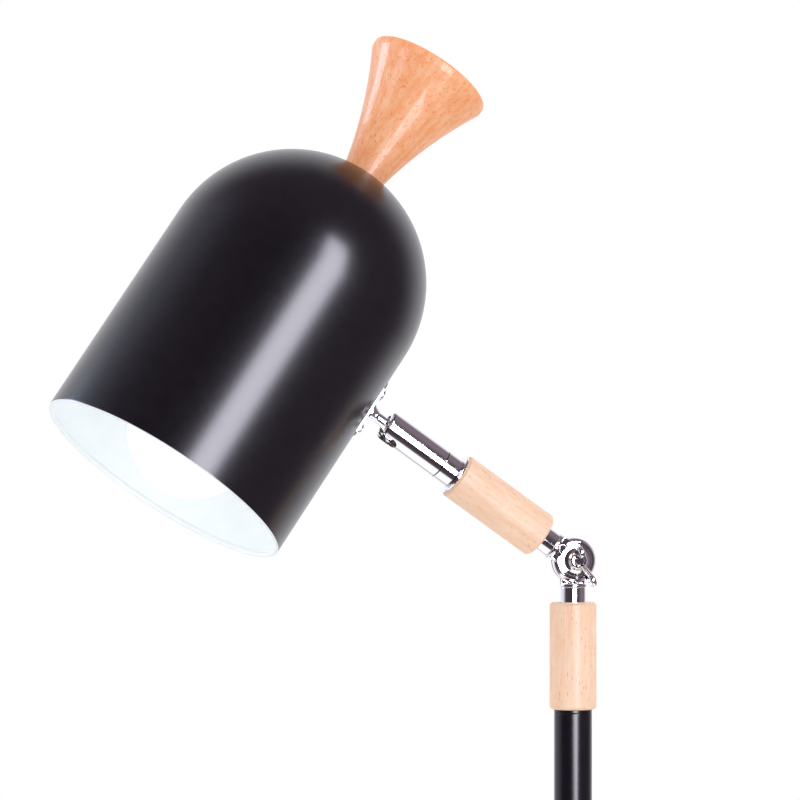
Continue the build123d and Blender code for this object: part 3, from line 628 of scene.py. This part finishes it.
def wood(name, where, colours, fleck_size, stretch, gloss, coat):
    """Turned wood: rings off the middle, drawn-out fibre and short dark flecks along the grain."""
    pale, deep, fleck = [(*colour, 1) for colour in colours]
    cell = 1000 / fleck_size
    material, tree, own = begin_finish(name, where)
    off_pith = vector_node(tree, "ADD", own, (0.052, 0.031, 0))[0]
    sway = grain_noise(tree, own, 34, 5.0, 2.0)
    swaying = vector_node(tree, "ADD", off_pith, times(tree, sway, 0.012))[0]
    rings = add(
        tree, "ShaderNodeTexWave",
        {"Vector": swaying, "Scale": 62.0, "Distortion": 1.6, "Detail": 2.0, "Detail Scale": 0.6},
        wave_type="RINGS", rings_direction="Z",
    ).outputs["Fac"]
    fibre = grain_noise(tree, own, 0.9, 16.0, 4.0, 0.65)
    mottle = grain_noise(tree, own, 5.0, 3.5, 3.0, 0.6)
    cells = vector_node(tree, "MULTIPLY", own, (cell, cell, cell / stretch))[0]
    bent = vector_node(tree, "ADD", cells, times(tree, sway, 3.0))[0]
    dots = add(tree, "ShaderNodeTexVoronoi", {"Vector": bent, "Scale": 1.0, "Randomness": 1.0})
    chance = add(tree, "ShaderNodeSeparateColor", {0: dots.outputs["Color"]}).outputs[0]
    size = spread(tree, chance, 0.15, 1.0, 0.0, 0.36)
    inside = math_node(tree, "SUBTRACT", size, dots.outputs["Distance"])
    flecks = spread(tree, inside, 0.0, 0.14, smooth=True)
    dashes = spread(tree, grain_noise(tree, own, 1.1, 4.5, 1.0, 0.5), 0.60, 0.72, 0, 0.55, True)
    ring_share = times(tree, spread(tree, rings, 0.15, 0.95, 0, 0.45), 0.35)
    fibre_share = times(tree, spread(tree, fibre, 0.35, 0.7), 0.35)
    mottle_share = times(tree, spread(tree, mottle, 0.35, 0.68), 0.45)
    share = math_node(
        tree, "ADD", ring_share, math_node(tree, "ADD", fibre_share, mottle_share), clamp=True
    )
    grained = blend_colours(tree, math_node(tree, "ADD", share, dashes), pale, deep)
    coloured = blend_colours(tree, times(tree, flecks, 0.7), grained, fleck)
    height = math_node(tree, "SUBTRACT", times(tree, fibre, 0.4), times(tree, flecks, 0.6))
    relief = add(tree, "ShaderNodeBump", {"Height": height, "Distance": 0.03 * mm, "Strength": 1.0})
    shine = spread(tree, fibre, 0.3, 0.7, gloss - 0.04, gloss + 0.06)
    end_finish(tree, {
        "Base Color": coloured, "Roughness": shine, "Normal": relief.outputs[0],
        "Coat Weight": coat, "Coat Roughness": 0.07, "Specular IOR Level": 0.3,
    })
    return material


def sleeve(name, cad_node, low, where, body):
    """A plain bored sleeve of pale beech with a chamfer at both rims."""
    high = low + sleeve_length
    rim_radius = sleeve_radius - sleeve_chamfer
    corners = [(stub_bore, low, 0.2), (rim_radius, low, 0.3),
               (sleeve_radius, low + sleeve_chamfer, 0.3),
               (sleeve_radius, high - sleeve_chamfer, 0.3), (rim_radius, high, 0.3),
               (stub_bore, high, 0.2)]
    beech = wood(cad_node + "_wood", where, beech_colours, 1.3, 4.0, 0.50, 0.06)
    fit(turned(name, rounded(corners, steps=3), beech, where), body, "pale_wood", cad_node)


sleeve_radius, sleeve_length, sleeve_chamfer = 13.6, 62.0, 1.3
beech_colours = ((0.98, 0.725, 0.545), (0.915, 0.545, 0.36), (0.72, 0.38, 0.23))
sleeve("sleeve_on_pole", "pole_sleeve", 1113.5, upright, "stand")
sleeve("sleeve_on_arm", "arm_sleeve", 24.5, up_arm, "arm")

# Elbow. Two die-cast knuckles, polished and chromed, lap on a steel bolt with a friction washer
# between them. Each carries a chromed stub tube, and a cast wing nut clamps the lap.
down_pole = place(elbow, Vector((-1, 0, 0)), Vector((0, 0, -1)))
to_front_face = place(elbow, Vector((1, 0, 0)), Vector((0, -1, 0)))
to_back_face = place(elbow, Vector((1, 0, 0)), Vector((0, 1, 0)))


def arc(centre, radius, start, end, steps):
    """Points (across, along) on an arc between two angles in degrees."""
    angles = [math.radians(angle) for angle in spaced(start, end, steps)]
    return [(centre[0] + radius * math.cos(a), centre[1] + radius * math.sin(a)) for a in angles]


def chrome(name, where=upright):
    """Bright chrome plate over a polished casting or tube."""
    silvers = ((0.90, 0.90, 0.91), (0.86, 0.86, 0.87))
    return surface(name, silvers, (0.035, 0.075), 1.6, 3.0, 0.0006, 1.0, where)


def slab(name, outline, low, high, edge, material, where):
    """A flat form cast from a closed outline, with both its rims rounded."""
    count, steps = len(outline), 5
    spots = [Vector(p) for p in outline]
    inward = []
    for i in range(count):
        back = (spots[i] - spots[i - 1]).normalized()
        on = (spots[(i + 1) % count] - spots[i]).normalized()
        inward.append(Vector((-back.y - on.y, back.x + on.x)).normalized())
    swing = spaced(0, math.pi / 2, steps)
    levels = [(edge * (1 - math.sin(a)), low + edge * (1 - math.cos(a))) for a in swing]
    levels += [(inset, low + high - height) for inset, height in reversed(levels)]
    shape = bmesh.new()
    rings = []
    for inset, height in levels:
        ring_spots = [spot + inset * way for spot, way in zip(spots, inward)]
        rings.append([shape.verts.new((v.x * mm, v.y * mm, height * mm)) for v in ring_spots])
    for under, over in zip(rings, rings[1:]):
        for i in range(count):
            shape.faces.new((under[i - 1], under[i], over[i], over[i - 1]))
    shape.faces.new(rings[0][::-1])
    shape.faces.new(rings[-1])
    bmesh.ops.remove_doubles(shape, verts=shape.verts, dist=0.0005 * mm)
    for face in shape.faces:
        face.smooth = True
    mesh = bpy.data.meshes.new(name)
    shape.to_mesh(mesh)
    shape.free()
    mesh.transform(where)
    mesh.materials.append(material)
    return set_out(name, mesh)


def cast(name, first, others, bores, material):
    """One casting: several forms run together, with its bores cut through them."""
    for operation, forms in (("UNION", others), ("DIFFERENCE", bores)):
        for form in forms:
            joint = first.modifiers.new(operation, "BOOLEAN")
            joint.operation, joint.object, joint.solver = operation, form, "MANIFOLD"
    first.name = name
    piece = finished(first)
    for form in others + bores:
        discard(form)
    piece.data.materials.clear()
    piece.data.materials.append(material)
    piece.data.set_sharp_from_angle(angle=math.radians(32))
    even_normals(piece)
    return finished(piece)


def pin(radius, low, high, material, where):
    """A plain round bar, to cut a bore with."""
    return turned("pin", [(0, low), (radius, low), (radius, high), (0, high)], material, where, 48)


lap_face, eye_radius, eye_face, neck_face = 0.6, 13.0, 5.8, 5.75
groove_inner, groove_outer, groove_floor = 5.25, 9.25, 3.0
neck_half, neck_low, neck_high = 7.5, 9.4, 13.9
flange_low, flange_high, flange_radius = 13.4, 15.95, 8.3
spigot_radius, spigot_end, cable_way = 6.1, 34, 2.5
stub_start, stub_radius, stub_inside = 16.0, 7.65, 6.15


def knuckle(name, eye_place, member_place, side, bolt_hole, material):
    """A lapped eye with a domed face, its neck, its flange and the spigot in the stub tube."""
    eye_corners = [(bolt_hole, lap_face, 0.05), (groove_inner, lap_face, 0.1),
                   (groove_inner, groove_floor), (groove_outer, groove_floor),
                   (groove_outer, lap_face, 0.1), (eye_radius, lap_face, 0.2), (eye_radius, 3.6, 2.2),
                   (11.2, 5.62, 1.4), (9.3, eye_face, 0.6), (bolt_hole, eye_face, 0.1)]
    eye = turned("eye", rounded(eye_corners, steps=7), material, eye_place, 128)
    neck_outline = rounded([(-neck_half, neck_low), (neck_half, neck_low), (neck_half, neck_high),
                            (-neck_half, neck_high)])[:-1]
    neck_place = member_place @ Matrix.Rotation(math.radians(90), 4, "X")
    low, high = (lap_face, neck_face) if side < 0 else (-neck_face, -lap_face)
    neck = slab("neck", neck_outline, low, high, 1.0, material, neck_place)
    flange_corners = [(0, flange_low), (flange_radius, flange_low, 1.1),
                      (flange_radius, flange_high, 1.1), (spigot_radius, flange_high),
                      (spigot_radius, spigot_end, 0.4), (0, spigot_end)]
    flange = turned("flange", rounded(flange_corners, closed=False, steps=7), material, member_place)
    bore = pin(cable_way, 8.0, spigot_end + 1, material, member_place)
    return cast(name, eye, [neck, flange], [bore], material)


def stub(name, cad_node, high, where, body, material):
    """A drawn tube that runs from its knuckle's flange through the sleeve."""
    outline = rounded([(stub_inside, stub_start, 0.1), (stub_radius, stub_start, 0.3),
                       (stub_radius, high, 0.3), (stub_inside, high, 0.1)])
    fit(turned(name, outline, material, where), body, "mirror_chrome", cad_node)


elbow_chrome = chrome("elbow_chrome")
arm_chrome = chrome("arm_chrome", up_arm)
stub("neck_tube_drawn", "neck_tube", 106.5, down_pole, "stand", elbow_chrome)
stub("arm_tube_drawn", "arm_tube", 94.6, up_arm, "arm", arm_chrome)
fit(knuckle("knuckle_on_pole", to_back_face, down_pole, 1, 3.05, elbow_chrome), "stand",
    "mirror_chrome", "knuckle_lower")
fit(knuckle("knuckle_on_arm", to_front_face, up_arm, -1, 3.08, arm_chrome), "arm",
    "mirror_chrome", "knuckle_upper")
fibre_browns = ((0.10, 0.045, 0.03), (0.14, 0.07, 0.045))
washer_fibre = surface("washer_fibre", fibre_browns, (0.6, 0.8), 0.5, depth=0.02)
eased("washer_of_lap", "friction_washer", 0.1, washer_fibre, "stand", "fibre")
bolt_radius, bolt_depth, bolt_rows = 3.0, 0.27, 33
bolt_outline = rounded([(0, -9.45), (6, -9.45, 2.1), (6, -5.85, 0.15), (bolt_radius, -5.85),
                        (bolt_radius, 7.3)], closed=False)
bolt_marks = [0.0] * len(bolt_outline) + run_in(bolt_rows, 4) + [0.0] * 2
bolt_outline += [(bolt_radius - bolt_depth, height) for height in spaced(7.4, 12.9, bolt_rows)]
bolt_outline += [(2.5, 13.15), (0, 13.15)]
bolt = turned("bolt_turned", bolt_outline, elbow_chrome, to_front_face, 48, 1.0, bolt_depth, bolt_marks)
fit(bolt, "stand", "mirror_chrome", "pivot_bolt")
washer_corners = [(3.16, 5.85, 0.1), (9.3, 5.85, 0.12), (9.3, 6.5, 0.25), (7.4, 6.85, 1.0),
                  (3.16, 6.85, 0.1)]
fit(turned("washer_under_nut", rounded(washer_corners), elbow_chrome, to_front_face), "stand",
    "mirror_chrome", "nut_washer")
nut_turn = math.radians(67.0)
nut_across = Vector((math.cos(nut_turn), 0, -math.sin(nut_turn)))
nut_place = place(elbow + Vector((0, -7.15 * mm, 0)), nut_across, Vector((0, -1, 0)))


def ear(reach, side):
    """One ear of the wing nut, from the hub out and up to a round tip, rounded all round."""
    root, tip, root_radius, tip_radius = Vector((2.7, 3.4)), Vector((reach, 14.3)), 2.6, 4.0
    half_thickness, rounding = 1.7, 1.45
    line = tip - root
    tilt = math.degrees(math.atan2(line.y, line.x))
    tangent = math.degrees(math.acos((root_radius - tip_radius) / line.length))
    outline = arc(tip, tip_radius, tilt - tangent, tilt + tangent, 20)
    outline += arc(root, root_radius, tilt + tangent, tilt + 360 - tangent, 16)
    where = nut_place @ Matrix.Rotation(0 if side > 0 else math.pi, 4, "Z")
    where = where @ Matrix.Rotation(math.radians(90), 4, "X")
    return slab("ear", outline, -half_thickness, half_thickness, rounding, elbow_chrome, where)


hub_corners = [(0, 0), (7.6, 0, 0.1), (7.6, 0.35, 0.2), (5.3, 1.8, 1.4), (5.3, 5.0, 1.7), (0, 5.05)]
hub = turned("hub", rounded(hub_corners, closed=False, steps=7), elbow_chrome, nut_place, 96)
wing_nut = cast("wing_nut_cast", hub, [ear(12.0, 1), ear(5.4, -1)],
                [pin(3.08, -1, 32, elbow_chrome, nut_place)], elbow_chrome)
fit(wing_nut, "wing_nut", "mirror_chrome", "wing_nut")

# Swivel and ball joint. A chromed ferrule closes the arm, and the slotted joint body turns on
# a pin in it. Disc springs press a fibre seat on the steel ball, whose hollow stem leaves it.
head_turn, head_lift = math.radians(6.0), math.radians(0.4)
ball_reach, ball_radius, stem_radius, stem_bore = 132.0, 6.5, 3.25, 1.8
joint_up = arm_up.copy()
joint_up.rotate(Matrix.Rotation(head_turn, 3, arm_direction))
up_joint = place(elbow, joint_up, arm_direction)
head_lean = lean + head_lift
head_direction = Vector((-math.cos(head_lean), 0, math.sin(head_lean)))
head_up = Vector((math.sin(head_lean), 0, math.cos(head_lean)))
head_up.rotate(Matrix.Rotation(head_turn, 3, head_direction))
stem_foot = elbow + ball_reach * mm * (arm_direction - head_direction)
up_stem = place(stem_foot, head_up, head_direction)
joint_chrome = chrome("joint_chrome", up_joint)
seat_fibre = surface("seat_fibre", fibre_browns, (0.45, 0.6), 0.8, depth=0.01, where=up_joint)
fit(ring("ring_at_sleeve", arm_chrome, 24.4, 15.4, 86.55, 88.0, up_arm, steps=96), "arm",
    "mirror_chrome", "sleeve_end_ring")
ferrule_low, ferrule_high, ferrule_radius, pin_bore = 88.05, 98.0, 9.1, 4.08
ferrule_outline = rounded([(stub_bore, ferrule_low, 0.15), (ferrule_radius, ferrule_low, 0.25),
                           (ferrule_radius, ferrule_high, 0.25), (pin_bore, ferrule_high, 0.15),
                           (pin_bore, 94.65), (stub_bore, 94.65)])
fit(turned("ferrule_turned", ferrule_outline, arm_chrome, up_arm), "arm", "mirror_chrome", "ferrule")
for name, cad_node, edge, material, slot in (
    ("joint_body_milled", "joint_body", 0.3, joint_chrome, "mirror_chrome"),
    ("plug_of_swivel", "swivel_plug", 0.3, plated_steel, "plain_steel"),
    ("clip_of_swivel", "swivel_clip", 0.15, plated_steel, "plain_steel"),
    ("springs_stacked", "disc_springs", 0.15, plated_steel, "plain_steel"),
    ("seat_turned", "ball_seat", 0.2, seat_fibre, "fibre"),
):
    eased(name, cad_node, edge, material, "joint_body", slot)
bore_drop = math.sqrt(ball_radius ** 2 - stem_bore ** 2)
bore_angle = -math.degrees(math.asin(bore_drop / ball_radius))
neck_angle = 60
neck_height = ball_reach + ball_radius * math.sin(math.radians(neck_angle))
ball_outline = [(stem_bore, ball_reach - bore_drop)]
ball_outline += arc((0, ball_reach), ball_radius, bore_angle, neck_angle, 26)
ball_outline += rounded([(stem_radius, neck_height), (stem_radius, 144.5, 2.0), (5.75, 149.5, 0.4),
                         (5.75, 150.95, 0.3), (3.0, 150.95, 0.1), (3.0, 159.0, 0.4),
                         (stem_bore, 159.0)], closed=False)
ball_outline.append(ball_outline[0])
fit(turned("ball_and_stem", ball_outline, joint_chrome, up_stem), "head", "mirror_chrome", "ball_stud")

# Mounting plate. A chromed steel strap, curved to the shade, is held through its wall by two
# slotted pan-head screws with washers and nuts inside, and the ball stem's nut clamps it too.
shade_reach, plate_height = 229.5, 104.1
mouth = stem_foot + mm * (shade_reach * head_direction - plate_height * head_up)
up_head = place(mouth, -arm_direction, head_up)
head_chrome = chrome("head_chrome", up_head)
eased("plate_curved", "mount_plate", 0.3, head_chrome, "head", "mirror_chrome")
eased("screws_slotted", "plate_screws", 0.15, head_chrome, "head", "mirror_chrome")
for hidden in ("screw_washers", "screw_nuts", "stem_nut"):
    eased(hidden + "_cut", hidden, 0.2, plated_steel, "head", "plain_steel")

# Shade. An aluminium sheet is spun to a dome on a straight skirt, its mouth rolled to a small
# hem. It is powder coated satin black outside and enamelled white inside.
shade_black = satin_black("shade_black", up_head)
lining_whites = ((0.835, 0.88, 0.91), (0.81, 0.855, 0.885))
lining_white = surface("lining_white", lining_whites, (0.30, 0.42), 1.4, depth=0.006, where=up_head)
shade_radius, shade_inside, skirt_height, crown_hole = 77, 76, 138, 5.05
skirt_rows, dome_rows, hem_height = 12, 48, 4
skirt = spaced(hem_height, skirt_height, skirt_rows)[:-1]
outer_end = math.degrees(math.acos(crown_hole / shade_radius))
inner_end = math.degrees(math.acos(crown_hole / shade_inside))
outer_rows = [(shade_radius, 0.75), (shade_radius, 1.6)]
outer_rows += [(shade_radius, height) for height in skirt]
outer_rows += arc((0, skirt_height), shade_radius, 0, outer_end, dome_rows)
inner_rows = arc((0, skirt_height), shade_inside, inner_end, 0, dome_rows)
inner_rows += [(shade_inside, height) for height in reversed(skirt)]
inner_rows += [(75.9, 3.2), (75.5, 2.6), (75.2, 1.9), (75.15, 1.1), (75.35, 0.4), (75.9, 0),
               (76.35, 0.06), (76.75, 0.3), (shade_radius, 0.75)]
shell = turned("shade_spun", outer_rows + inner_rows, shade_black, up_head, steps=144,
               lining=lining_white, lining_row=len(outer_rows))
fit(shell, "head", "satin_black", "shade")

# Finial. A flared beech finial is turned in one piece and lacquered. A brass insert in its foot
# screws on the end of the rod that comes through the dome.
warm_colours = ((1.0, 0.545, 0.305), (0.93, 0.285, 0.08), (0.62, 0.17, 0.05))
finial_wood = wood("finial_wood", up_head, warm_colours, 1.35, 2.6, 0.46, 0.22)
foot, brim, flare_radius = Vector((12.5, 215.0)), Vector((36.9, 284.3)), 262.0
crown_top, finial_top, insert_radius, insert_top = 215.05, 288.8, 7.05, 230.0
chord = brim - foot
sagitta_arm = math.sqrt(flare_radius ** 2 - (chord.length / 2) ** 2)
flare_centre = (foot + brim) / 2 + Vector((chord.y, -chord.x)).normalized() * sagitta_arm
start_angle, end_angle = [
    math.degrees(math.atan2(*reversed(spot - flare_centre))) % 360 for spot in (foot, brim)
]
seat_radius = shade_radius + gap
dome_drop = seat_radius - math.sqrt(seat_radius ** 2 - foot.x ** 2)
finial_outline = [(insert_radius, crown_top), (12.2, crown_top - dome_drop),
                  (12.45, crown_top + 0.05 - dome_drop)]
finial_outline += arc(flare_centre, flare_radius, start_angle, end_angle, 40)[1:]
finial_outline += rounded([brim, (37.1, finial_top, 1.9), (0, finial_top)], closed=False, steps=8)[1:]
finial_outline += [(0, insert_top), (insert_radius, insert_top), (insert_radius, crown_top)]
fit(turned("finial_turned", finial_outline, finial_wood, up_head, steps=128), "head", "warm_wood",
    "finial")
insert_brass = surface("insert_brass", ((0.78, 0.55, 0.24), (0.70, 0.47, 0.19)), (0.2, 0.32), 1.1,
                       depth=0.004, metallic=1.0, where=up_head)
eased("insert_knurled", "finial_insert", 0.2, insert_brass, "head", "yellow_brass")

# Lampholder. A threaded steel rod hangs it from the dome between a nut and the finial. A white
# moulded cap and sleeve hold a ceramic disc, a brass screw shell and a sprung centre contact.
holder_white = surface("holder_white", ((0.80, 0.80, 0.79), (0.76, 0.76, 0.75)), (0.14, 0.24), 1.2,
                       depth=0.006, where=up_head)
ceramic = surface("ceramic", ((0.80, 0.79, 0.76), (0.74, 0.73, 0.70)), (0.2, 0.35), 1.8, depth=0.01,
                  where=up_head)
rod_thread = 10.0
fit(threaded_bar("rod_threaded", plated_steel, rod_thread, cable_bore, 129.0, 227.0, 1.0, up_head),
    "head", "plain_steel", "holder_rod")
for hidden in ("rod_washer", "rod_nut"):
    eased(hidden + "_cut", hidden, 0.25, plated_steel, "head", "plain_steel")
holder_radius, holder_inside, cap_foot, cap_top = 20.5, 18.5, 123.05, 137.05
cap_outline = rounded([(16.5, cap_foot, 0.2), (holder_radius, cap_foot, 0.4),
                       (holder_radius, cap_foot + 3, 1.2), (8.5, cap_top - 3, 1.5),
                       (8.5, cap_top, 0.5), (crown_hole, cap_top, 0.2),
                       (crown_hole, cap_top - 6, 0.2), (6.5, cap_top - 6, 0.2)])
fit(turned("cap_moulded", cap_outline, holder_white, up_head), "head", "white_plastic", "holder_cap")
shell_outline = rounded([(holder_inside, 83, 0.5), (holder_radius, 83, 0.5),
                         (holder_radius, 123, 0.3), (holder_inside, 123, 0.3)])
fit(turned("sleeve_of_holder", shell_outline, holder_white, up_head), "head", "white_plastic",
    "holder_shell")
eased("disc_fired", "holder_insulator", 0.3, ceramic, "head", "white_ceramic")


def rolled_thread(name, material, outer, wall, low, high, top, slot, cad_node):
    """A thin shell with the rolled thread of a screw lampholder, ended by the points in top."""
    row_height, depth, pitch = 0.45, 0.25, 3.62
    rows = round((high - low) / row_height)
    outer_wall = [(outer - depth, height) for height in spaced(low, high, rows)]
    inner_wall = [(across - wall, height) for across, height in reversed(outer_wall)]
    lead = run_in(rows, 4)
    outline = outer_wall + top + inner_wall + outer_wall[:1]
    marks = lead + [0.0] * len(top) + lead[::-1] + lead[:1]
    piece = turned(name, outline, material, up_head, 72, pitch, depth, marks)
    fit(piece, "head", slot, cad_node)


rolled_thread("shell_rolled", insert_brass, 14.4, 0.6, 89.95, 116.95, [], "yellow_brass",
              "holder_screw_shell")
eased("tongue_sprung", "holder_contact", 0.1, insert_brass, "head", "yellow_brass")

# Bulb. An opal glass globe is closed by a white plastic body, with a nickel-plated screw cap
# and a brass end contact crimped on it.
globe_opal, globe_tree, globe_own = begin_finish("globe_opal", up_head)
globe_cloud = grain_noise(globe_tree, globe_own, 14.0)
globe_gloss = spread(globe_tree, globe_cloud, 0.3, 0.7, 0.16, 0.22)
globe_glow = spread(globe_tree, globe_cloud, 0.3, 0.7, 1.40, 1.50)
end_finish(globe_tree, {
    "Base Color": (0.90, 0.90, 0.89, 1), "Roughness": globe_gloss,
    "Emission Color": (1, 0.985, 0.95, 1), "Emission Strength": globe_glow,
})
globe_radius, globe_inside, globe_height = 38, 37, 33.7
outer_neck = math.degrees(math.acos(23 / globe_radius))
inner_neck = math.degrees(math.acos(22.4 / globe_inside))
globe_outline = arc((0, globe_height), globe_radius, -90, outer_neck, 60)
globe_outline += arc((0, globe_height), globe_inside, inner_neck, -90, 60)
fit(turned("globe_blown", globe_outline, globe_opal, up_head), "head", "opal_globe", "bulb_globe")
body_plastic = surface("body_plastic", ((0.84, 0.84, 0.83), (0.80, 0.80, 0.79)), (0.32, 0.45), 0.9,
                       depth=0.008, where=up_head)
body_outline = rounded([(0, 64.0), (22.2, 64.0, 0.6), (22.6, 66.0, 0.6), (21.8, 67.0, 0.4),
                        (14.6, 85.0, 1.0), (14.0, 87.45, 0.3), (0, 87.45)], closed=False)
fit(turned("body_moulded", body_outline, body_plastic, up_head), "head", "white_plastic", "bulb_body")
cap_nickel = surface("cap_nickel", ((0.62, 0.60, 0.56), (0.54, 0.52, 0.48)), (0.2, 0.34), 1.2,
                     depth=0.006, metallic=1.0, where=up_head)
cap_end = [(12.2, 109.6), (7.0, 112.85), (0.0, 112.85), (0.0, 108.65)]
rolled_thread("cap_rolled", cap_nickel, 13.2, 0.8, 87.5, 109.45, cap_end, "nickel_cap", "bulb_cap")
eased("contact_soldered", "bulb_contact", 0.3, insert_brass, "head", "yellow_brass")
